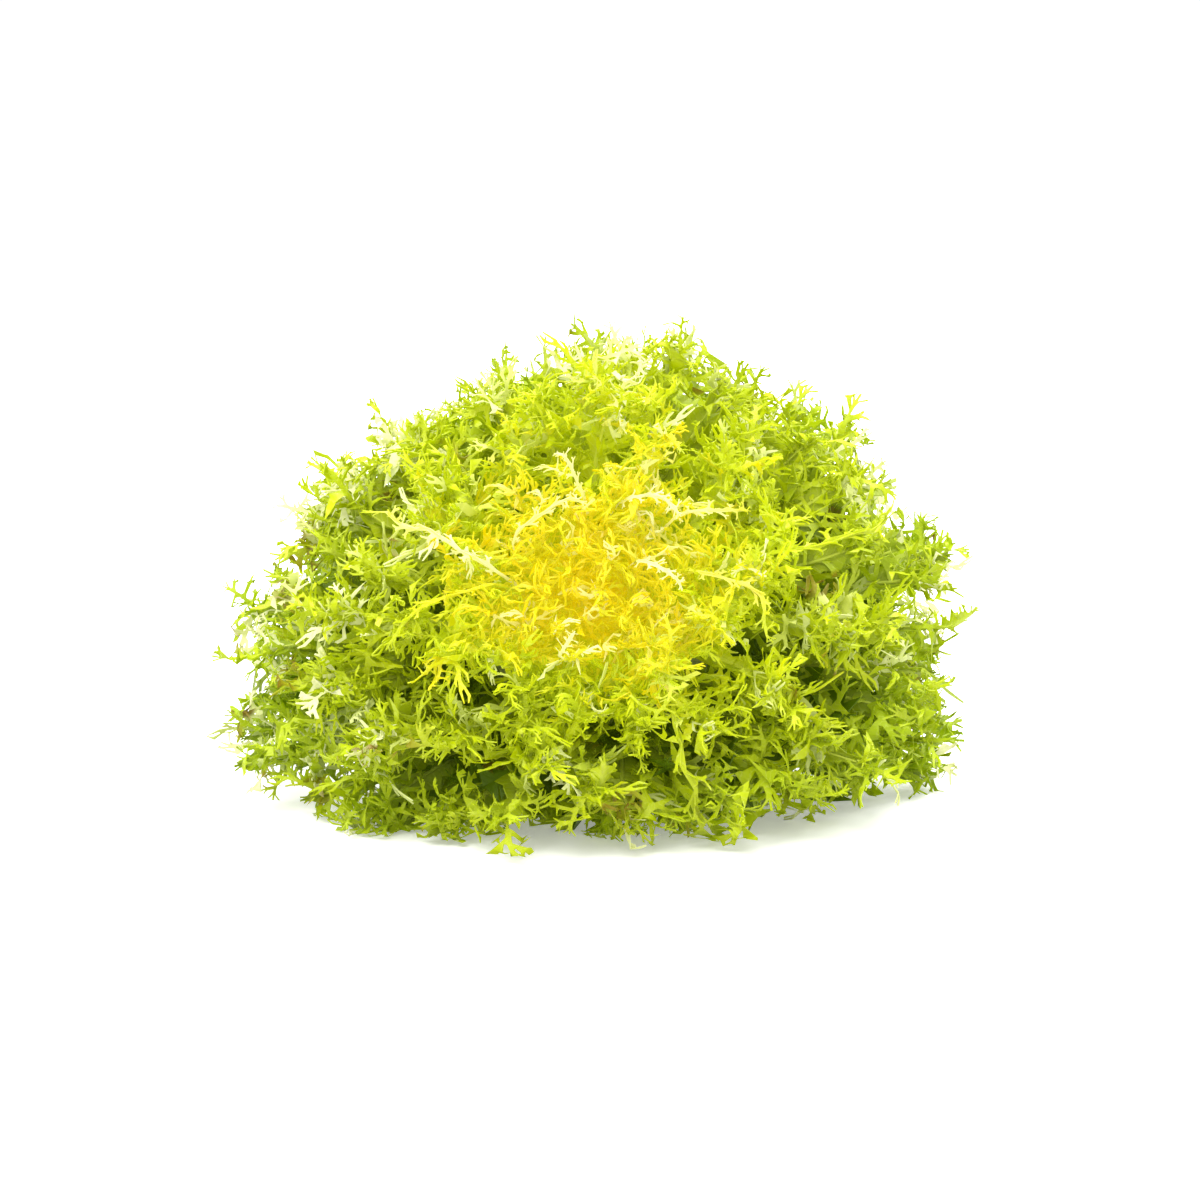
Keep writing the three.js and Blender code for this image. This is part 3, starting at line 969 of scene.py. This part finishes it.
SPRIGS = (
    Sprig(0, (15.5, 12), (152, 90), 0.8, 0.65),
    Sprig(0, (17, 19), (74, 38), 0.9, 1),
    Sprig(43, (18.5, 28.5), (40, 26), 0.8, 0.7),
    Sprig(0, (9, 13), (31, -10), 0.8, 0.95),
    Sprig(44, (13.5, 45), (163, 155), 0.9, 0.85),
    Sprig(24, (21, 80), (297, 286), 0.9, 0),
    Sprig(0, (14.5, 9.5), (250, 265), 0.8, 0.95),
    Sprig(43, (27, 52), (8, 18), 0.9, 0),
    Sprig(47, (16, 32), (169, 200), 0.8, 0),
    Sprig(48, (17.5, 30), (10, -18), 0.8, 0.2),
    Sprig(0, (16.5, 21), (88, 104), 0.8, 0.8),
)


def lay_sprig(model, sprig, number, name):
    """Ragged strips that cross along one stem, as the crisped edges of a young leaf do."""
    item = copies(model, len(SPRIG_FACES), name)
    flat = places(item).reshape(len(SPRIG_FACES), -1, 3)
    strip = np.arange(len(SPRIG_FACES))[:, None] + 10 * number
    share = flat[..., 0] / SPRIG.length
    along = share * sprig.length * np.where(strip % 10 == 0, 1, lerp(0.8, 0.95, scatter(strip, 94)))
    across, lift = flat[..., 1] * sprig.half, flat[..., 2]
    lift = lift + 0.6 * np.abs(across) * np.sin(along / 3.1 + some_phase(strip, 91))
    face = np.array(SPRIG_FACES)[:, None] + 1.5 * share * swing(number, 95)
    across, lift = turned(across, lift, face)
    onward = np.clip(share, 0, 1)
    across = across + 1.6 * np.sin(along / 4.6 + some_phase(number, 92)) * np.sqrt(onward)
    across = across + 2.5 * np.sin(along / 11 + some_phase(number, 96)) * onward
    lift = lift + 1.3 * np.sin(along / 3.7 + some_phase(number, 93))
    x, y, z = sprig.lay(along.ravel(), across.ravel(), lift.ravel())
    move_to(item, turn_up(settle(x, y, z)))
    paint_age(item, x, y, z, Shell(SPRIG_NUMBER + number, sprig.mean_lean, 0, sprig.length, 0, 0))
    fade = 1 - np.clip(share.ravel() * 1.6 - 0.6, 0, 1) if sprig.leaf else 1
    paint(item, "pale", SPRIG_PALENESS * sprig.pale * fade * np.ones(len(x)))
    return item


def build_sprigs(leaf, models, name):
    """The stray ends that belong to one leaf."""
    own = [(k, sprig) for k, sprig in enumerate(SPRIGS) if sprig.leaf == leaf]
    return [lay_sprig(models[SPRIG.name], sprig, k, name) for k, sprig in own]


# --- Heart ------------------------------------------------------------------
HEART_FRONDS = 18
HEART_RIB_SHARE = 0.96
HEART_RIB_HALF = 1.3
HEART_RIB_TIP = 0.45


def plan_heart_leaf(shell):
    n, seed, side = number_off(shell, HEART_FRONDS)
    share = n / (HEART_FRONDS - 1)
    return Fronds(
        along=shell.length * lerp(0.55, 0.97, share ** 0.8),
        across=side * 0.4,
        size=lerp(13, 18, scatter(seed, 33)) * lerp(0.85, 1.1, np.sin(np.pi * share)),
        sweep=side * lerp(1.1, 0.6, share) + 0.5 * swing(seed, 34),
        rise=1.0 * swing(seed, 35),
        face=1.6 * swing(seed, 36),
        curl=some_curl(seed, 37, 0.9, 2.8),
        cup=some_curl(seed, 43, 0.5, 2.2),
        hook=0.6 * swing(seed, 44),
        twist=1.5 * swing(seed, 38),
        bow=0.4 * swing(seed, 41),
        ruffle=lerp(0.5, 1.2, scatter(seed, 39)),
        phase=some_phase(seed, 40),
    )


def build_heart(models):
    pieces = build_sprigs(0, models, "heart")
    for j in range(HEART_LEAVES):
        shell = heart_leaf_shell(j)
        sizes = shell.length * HEART_RIB_SHARE, HEART_RIB_HALF, HEART_RIB_TIP
        pieces.append(lay_rib(models["rib"], shell, lay_in_heart, *sizes, "heart"))
        bunches = [(FRIZZ, plan_heart_leaf(shell))]
        if j % 2 == 0:
            bunches.append((FILL, plan_filling(shell, 20, 4, 0.2, 0.6)))
        for kind, fronds in bunches:
            pieces.append(lay_fronds(models[kind.name], kind, fronds, shell, lay_in_heart, "heart"))
    return join(pieces, "heart_frizzy")


# --- Crown ------------------------------------------------------------------
CROWN_SIDES = 40
DOME_RADIUS = CROWN_RADIUS - 0.6
CUT_RADIUS = BUTT_RADIUS - 1
BUTT_RINGS = ((BUTT_RADIUS, 1 - BUTT_LENGTH), (BUTT_RADIUS + 0.4, -14), (BUTT_RADIUS + 0.9, -9))
DOME_ANGLES = range(105, 0, -15)
CUT_INSETS = (2.5, 4)


def model_crown():
    """A short stem along the head's axis: a butt with a cut face behind, and a dome in front."""
    crown = add_disc(CROWN_SIDES, CUT_RADIUS)
    edit(crown)
    bpy.ops.mesh.select_mode(type="FACE")
    bpy.ops.mesh.select_all(action="SELECT")
    bpy.ops.transform.translate(value=(0, 0, -BUTT_LENGTH))
    for thickness in CUT_INSETS:
        bpy.ops.mesh.inset(thickness=thickness)
    leave_edit()
    edit(crown)
    bpy.ops.mesh.select_mode(type="EDGE")
    bpy.ops.mesh.select_all(action="DESELECT")
    mesh = bmesh.from_edit_mesh(crown.data)
    for edge in mesh.edges:
        edge.select_set(edge.is_boundary)
    bmesh.update_edit_mesh(crown.data)
    radius, level = CUT_RADIUS, -BUTT_LENGTH
    slopes = [math.radians(angle) for angle in DOME_ANGLES]
    rings = [*BUTT_RINGS, *[(DOME_RADIUS * math.sin(a), DOME_RADIUS * math.cos(a)) for a in slopes]]
    for next_radius, next_level in rings:
        extrude_by(0, 0, next_level - level)
        ratio = next_radius / radius
        bpy.ops.transform.resize(value=(ratio, ratio, 1), center_override=(0, 0, next_level))
        radius, level = next_radius, next_level
    bpy.ops.mesh.edge_face_add()
    face_outwards()
    leave_edit()
    apply_modifier(crown, "SUBSURF", levels=1, render_levels=1)
    return crown


def build_crown():
    """The stem, ridged where leaves grew, with an uneven cut face, laid behind the leaves."""
    crown = model_crown()
    x, y, z = places(crown).T
    angle = np.arctan2(y, x)
    ridge = 0.35 * np.sin(angle * 9 + z * 0.25) + 0.2 * np.sin(angle * 17 - z * 0.4)
    shoulder = np.clip((z + BUTT_LENGTH) / 3, 0, 1)
    grown = 1 + (ridge * shoulder - 0.2) / CROWN_RADIUS
    x, y = x * grown, y * grown
    cut = (z < 0.8 - BUTT_LENGTH) & (np.hypot(x, y) < CUT_RADIUS)
    z = np.where(cut, z + 0.3 * np.sin(x * 0.9) * np.cos(y * 0.7) + 0.3, z)
    move_to(crown, settle(x, y, z))
    paint(crown, "cut", np.where(cut, 1, 0))
    smooth(crown, 45)
    crown.name = crown.data.name = "crown_butt"
    return crown


# --- Materials --------------------------------------------------------------
def srgb(red, green, blue):
    """A colour as seen, 0 to 255, to the linear values that shaders take."""
    def linear(value):
        value /= 255
        return value / 12.92 if value <= 0.04045 else ((value + 0.055) / 1.055) ** 2.4
    return linear(red), linear(green), linear(blue), 1


def add_node(tree, kind, **settings):
    item = tree.nodes.new(kind)
    for key, value in settings.items():
        setattr(item, key, value)
    return item


def feed(tree, socket, value):
    """Links the socket to value, or sets it where value is a number or a colour."""
    if isinstance(value, bpy.types.NodeSocket):
        tree.links.new(value, socket)
    elif value is not None:
        socket.default_value = value


def math_node(tree, operation, first, second=None, clamp=False):
    item = add_node(tree, "ShaderNodeMath", operation=operation, use_clamp=clamp)
    feed(tree, item.inputs[0], first)
    feed(tree, item.inputs[1], second)
    return item.outputs[0]


def times(tree, first, second, clamp=False):
    return math_node(tree, "MULTIPLY", first, second, clamp)


def mix_colours(tree, share, first, second):
    item = add_node(tree, "ShaderNodeMix", data_type="RGBA", blend_type="MIX")
    for number, value in ((0, share), (6, first), (7, second)):
        feed(tree, item.inputs[number], value)
    return item.outputs[2]


def add_noise(tree, place, scale, detail):
    noise = add_node(tree, "ShaderNodeTexNoise", noise_dimensions="3D")
    noise.inputs["Scale"].default_value = scale
    noise.inputs["Detail"].default_value = detail
    tree.links.new(place, noise.inputs["Vector"])
    return noise.outputs["Fac"]


def add_bump(tree, height, surface, strength, distance):
    """Lets height bend the light on the surface. The distance is in metres."""
    bump = add_node(tree, "ShaderNodeBump")
    bump.inputs["Strength"].default_value = strength
    bump.inputs["Distance"].default_value = distance
    tree.links.new(height, bump.inputs["Height"])
    tree.links.new(bump.outputs["Normal"], surface.inputs["Normal"])


def step_between(tree, value, low, high):
    """0 where value is under low, 1 where it is over high, and smooth between them."""
    rise = add_node(tree, "ShaderNodeMapRange", interpolation_type="SMOOTHSTEP")
    tree.links.new(value, rise.inputs["Value"])
    rise.inputs["From Min"].default_value = low
    rise.inputs["From Max"].default_value = high
    return rise.outputs["Result"]


def read_attribute(tree, name):
    return add_node(tree, "ShaderNodeAttribute", attribute_name=name).outputs["Fac"]


def vein_lines(tree, grain, pattern):
    """Fine lines that run out and forward from a frond's middle line, a little unsteadily."""
    flat = add_node(tree, "ShaderNodeSeparateXYZ")
    tree.links.new(pattern, flat.inputs[0])
    slope = times(tree, math_node(tree, "ABSOLUTE", flat.outputs["Y"]), 0.8)
    phase = math_node(tree, "ADD", times(tree, grain, 1.4), flat.outputs["X"])
    phase = times(tree, math_node(tree, "SUBTRACT", phase, slope), 2.2)
    return step_between(tree, math_node(tree, "SINE", phase), 0.7, 1)


SKIN_INPUTS = {
    "NodeSocketColor": ("Heart", "Young", "Grown", "Old", "Vein", "Under", "Pale", "Painted Shade", "Worn"),
    "NodeSocketFloat": ("Vein Share", "Mottle"),
}
SKIN_OUTPUTS = {"NodeSocketColor": ("Color", "Glow"), "NodeSocketFloat": ("Roughness", "Height")}


PATCH_SCALE = 55
SPOT_SCALE = 38
GRAIN_SCALE = 1.1
YOUNG_AGES = (0.03, 0.11)  # between these ages a leaf's colour passes to the next one
GROWN_AGES = (0.12, 0.27)
OLD_AGES = (0.28, 1)
DEEP_AGES = (0.27, 0.5)  # and between these it takes on shade, a pale root and worn tips,
PALE_ROOT_AGES = (0.2, 0.5)
WORN_AGES = (0.25, 0.5)
DULL_AGES = (0.05, 0.42)  # and loses its glow
WORN_SPOTS = (0.71, 0.77)


def leaf_colour_group():
    """A leaf's skin, from its age, its veins, which face it is, and its painted shade and
    highlight: its colour, the colour of its painted glow, its roughness and its height."""
    tree = bpy.data.node_groups.new("leaf skin", "ShaderNodeTree")
    for way, sockets in (("INPUT", SKIN_INPUTS), ("OUTPUT", SKIN_OUTPUTS)):
        for kind, names in sockets.items():
            for name in names:
                tree.interface.new_socket(name, in_out=way, socket_type=kind)
    given = add_node(tree, "NodeGroupInput").outputs
    result = add_node(tree, "NodeGroupOutput").inputs
    place = add_node(tree, "ShaderNodeTexCoord").outputs["Object"]
    pattern = add_node(tree, "ShaderNodeUVMap", uv_map="pattern").outputs["UV"]
    patches = add_noise(tree, place, PATCH_SCALE, 1)
    spots = add_noise(tree, place, SPOT_SCALE, 0)
    grain = add_noise(tree, pattern, GRAIN_SCALE, 1)
    line = vein_lines(tree, grain, pattern)

    drift = times(tree, math_node(tree, "SUBTRACT", patches, 0.5), given["Mottle"])
    age = math_node(tree, "ADD", read_attribute(tree, "age"), drift, clamp=True)
    colour = mix_colours(tree, step_between(tree, age, *YOUNG_AGES), given["Heart"], given["Young"])
    colour = mix_colours(tree, step_between(tree, age, *GROWN_AGES), colour, given["Grown"])
    colour = mix_colours(tree, step_between(tree, age, *OLD_AGES), colour, given["Old"])

    under = times(tree, read_attribute(tree, "under"), 0.35)
    colour = mix_colours(tree, under, colour, given["Under"])
    # Pale: the sprigs' own pale colour, and a painted highlight on the pale fronds
    pale = times(tree, read_attribute(tree, "pale"), 0.9)
    colour = mix_colours(tree, pale, colour, given["Pale"])
    vein = math_node(tree, "ADD", times(tree, line, 0.45), read_attribute(tree, "vein"))
    vein = times(tree, vein, given["Vein Share"], clamp=True)
    colour = mix_colours(tree, vein, colour, given["Vein"])
    # Painted shade inside the head, where the leaves shade one another, only on leaves old enough
    painted_shade = step_between(tree, read_attribute(tree, "painted_shade"), 0, 1)
    painted_shade = times(tree, painted_shade, step_between(tree, age, *DEEP_AGES))
    colour = mix_colours(tree, painted_shade, colour, given["Painted Shade"])
    grown = step_between(tree, age, *PALE_ROOT_AGES)
    root = times(tree, read_attribute(tree, "root"), grown)
    colour = mix_colours(tree, root, colour, given["Pale"])
    worn = step_between(tree, spots, *WORN_SPOTS)
    worn = times(tree, worn, read_attribute(tree, "tip"))
    worn = times(tree, worn, step_between(tree, age, *WORN_AGES))
    colour = mix_colours(tree, worn, colour, given["Worn"])
    tree.links.new(colour, result["Color"])

    # Painted glow: young leaves glow in their own colour, old leaves and pale parts much less
    fade = times(tree, step_between(tree, age, *DULL_AGES), 0.86)
    fade = math_node(tree, "MAXIMUM", fade, pale)
    tree.links.new(mix_colours(tree, fade, colour, (0, 0, 0, 1)), result["Glow"])
    rough = math_node(tree, "ADD", times(tree, grain, 0.25), 0.24)
    tree.links.new(rough, result["Roughness"])
    tree.links.new(math_node(tree, "SUBTRACT", grain, line), result["Height"])
    return tree


LEAF_COLOURS = {
    "Heart": (222, 203, 4),
    "Young": (216, 204, 5),
    "Grown": (207, 217, 8),
    "Old": (176, 200, 14),
    "Vein": (240, 244, 130),
    "Under": (214, 228, 46),
    # pale roots and sprigs, and the painted highlight on pale fronds
    "Pale": (252, 252, 210),
    # the colour of the painted shade inside the head
    "Painted Shade": (106, 133, 8),
    "Worn": (150, 126, 36),
}
LEAF_MOTTLE = 0.22
LEAF_SHEEN = 0.35
# strength of the painted glow
PAINTED_GLOW = 0.52


def leaf_material(name, skin, vein_share, through_share):
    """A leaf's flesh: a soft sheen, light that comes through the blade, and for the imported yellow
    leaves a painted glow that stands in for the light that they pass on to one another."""
    material = bpy.data.materials.new(name)
    material.cycles.emission_sampling = "NONE"
    material.use_nodes = True
    tree = material.node_tree
    tree.nodes.clear()
    group = add_node(tree, "ShaderNodeGroup", node_tree=skin)
    for socket, value in LEAF_COLOURS.items():
        group.inputs[socket].default_value = srgb(*value)
    group.inputs["Vein Share"].default_value = vein_share
    group.inputs["Mottle"].default_value = LEAF_MOTTLE
    surface = add_node(tree, "ShaderNodeBsdfPrincipled")
    surface.inputs["Specular IOR Level"].default_value = LEAF_SHEEN
    surface.inputs["Emission Strength"].default_value = PAINTED_GLOW
    tree.links.new(group.outputs["Color"], surface.inputs["Base Color"])
    tree.links.new(group.outputs["Glow"], surface.inputs["Emission Color"])
    tree.links.new(group.outputs["Roughness"], surface.inputs["Roughness"])
    add_bump(tree, group.outputs["Height"], surface, 0.35, 0.0004)
    through = add_node(tree, "ShaderNodeBsdfTranslucent")
    tree.links.new(group.outputs["Color"], through.inputs["Color"])
    both = add_node(tree, "ShaderNodeMixShader")
    both.inputs[0].default_value = through_share
    tree.links.new(surface.outputs[0], both.inputs[1])
    tree.links.new(through.outputs[0], both.inputs[2])
    end = add_node(tree, "ShaderNodeOutputMaterial")
    tree.links.new(both.outputs[0], end.inputs["Surface"])
    return material


def crown_material():
    """Pale stem, a little green in patches, with a cut face browned by the air."""
    material = bpy.data.materials.new("endive stem")
    material.use_nodes = True
    tree = material.node_tree
    surface = tree.nodes["Principled BSDF"]
    noise = add_noise(tree, add_node(tree, "ShaderNodeTexCoord").outputs["Object"], 160, 5)
    stem = mix_colours(tree, noise, srgb(236, 234, 190), srgb(214, 218, 140))
    cut = mix_colours(tree, noise, srgb(190, 186, 124), srgb(146, 126, 70))
    colour = mix_colours(tree, read_attribute(tree, "cut"), stem, cut)
    tree.links.new(colour, surface.inputs["Base Color"])
    surface.inputs["Roughness"].default_value = 0.5
    add_bump(tree, noise, surface, 0.4, 0.0006)
    return material


# --- Floor, light and camera ------------------------------------------------
FLOOR_SIZE = 60
FLOOR_SEEN = 0.94
FLOOR_LIT = 0.45  # what the floor throws back at the leaves
FLOOR_GLOW = 0.27


def add_stage():
    bpy.ops.mesh.primitive_plane_add(size=FLOOR_SIZE, location=(0, 0, 0))
    floor = bpy.context.active_object
    floor.name = "floor"
    material = bpy.data.materials.new("pale floor")
    material.use_nodes = True
    tree = material.node_tree
    surface = tree.nodes["Principled BSDF"]
    seen = add_node(tree, "ShaderNodeLightPath").outputs["Is Camera Ray"]
    tone = mix_colours(tree, seen, (*[FLOOR_LIT] * 3, 1), (*[FLOOR_SEEN] * 3, 1))
    tree.links.new(tone, surface.inputs["Base Color"])
    surface.inputs["Roughness"].default_value = 0.7
    surface.inputs["Specular IOR Level"].default_value = 0
    surface.inputs["Emission Color"].default_value = (1, 1, 1, 1)
    surface.inputs["Emission Strength"].default_value = FLOOR_GLOW
    floor.data.materials.append(material)


# Each sun's name, the place that it shines from, its strength, and how wide it looks in degrees.
SUNS = (
    ("key", (-0.6, -1.1, 2.0), 2.5, 40),
    ("top", (0.3, 0.5, 1.7), 4.2, 50),
    ("side", (-1.6, 0.3, 0.8), 1.0, 20),
)


def add_sun(name, origin, strength, spread):
    light = bpy.data.lights.new(name, "SUN")
    light.energy = strength
    light.angle = math.radians(spread)
    item = bpy.data.objects.new(name, light)
    item.location = origin
    item.rotation_euler = Vector(origin).to_track_quat("Z", "Y").to_euler()
    bpy.context.scene.collection.objects.link(item)


CAMERA_RISE = math.radians(10)
CAMERA_DISTANCE = 1.126
CAMERA_AIM = (0.003, 0, 0.083)
CAMERA_LENS = 85


def add_camera():
    camera = bpy.data.cameras.new("camera")
    camera.lens = CAMERA_LENS
    item = bpy.data.objects.new("camera", camera)
    back = Vector((0, -math.cos(CAMERA_RISE), math.sin(CAMERA_RISE)))
    item.location = Vector(CAMERA_AIM) + back * CAMERA_DISTANCE
    item.rotation_euler = (-back).to_track_quat("-Z", "Y").to_euler()
    bpy.context.scene.collection.objects.link(item)
    bpy.context.scene.camera = item


SKY_LIGHT = 1.0
SKY_SEEN = 1.05
SKY_MIRRORED = 0.2


def light_scene():
    """Soft light from all round, broad suns, and a white backdrop for the camera."""
    world = bpy.data.worlds.new("studio")
    world.use_nodes = True
    tree = world.node_tree
    background = tree.nodes["Background"]
    background.inputs["Color"].default_value = (1, 1, 1, 1)
    path = add_node(tree, "ShaderNodeLightPath").outputs
    seen = times(tree, path["Is Camera Ray"], SKY_SEEN - SKY_LIGHT)
    mirrored = times(tree, path["Is Glossy Ray"], SKY_MIRRORED - SKY_LIGHT)
    strength = math_node(tree, "ADD", math_node(tree, "ADD", seen, mirrored), SKY_LIGHT)
    tree.links.new(strength, background.inputs["Strength"])
    bpy.context.scene.world = world
    for sun in SUNS:
        add_sun(*sun)
    bpy.context.scene.view_settings.view_transform = "Standard"


# --- Build ------------------------------------------------------------------
def dress(item, node, material):
    item.data.materials.clear()
    item.data.materials.append(material)
    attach(item, "root")
    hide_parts(node)


def build():
    models = {kind.name: model_frond(kind) for kind in FROND_KINDS}
    models["rib"] = model_rib()
    skin = leaf_colour_group()
    outer = leaf_material("outer endive leaf", skin, 0.4, 0.34)
    inner = leaf_material("inner endive leaf", skin, 0.4, 0.4)
    heart = leaf_material("heart endive leaf", skin, 0.2, 0.45)
    for i in range(LEAF_COUNT):
        leaf = build_long_leaf(i, models)
        young = i >= LEAF_COUNT // 2
        slot, material = ("leaf_lime", inner) if young else ("leaf_green", outer)
        dress(leaf, f"leaf_{i + 1:02d}", material)
    dress(build_heart(models), "heart", heart)
    dress(build_crown(), "crown", crown_material())
    for model in models.values():
        bpy.data.objects.remove(model)


build()
add_stage()
light_scene()
add_camera()
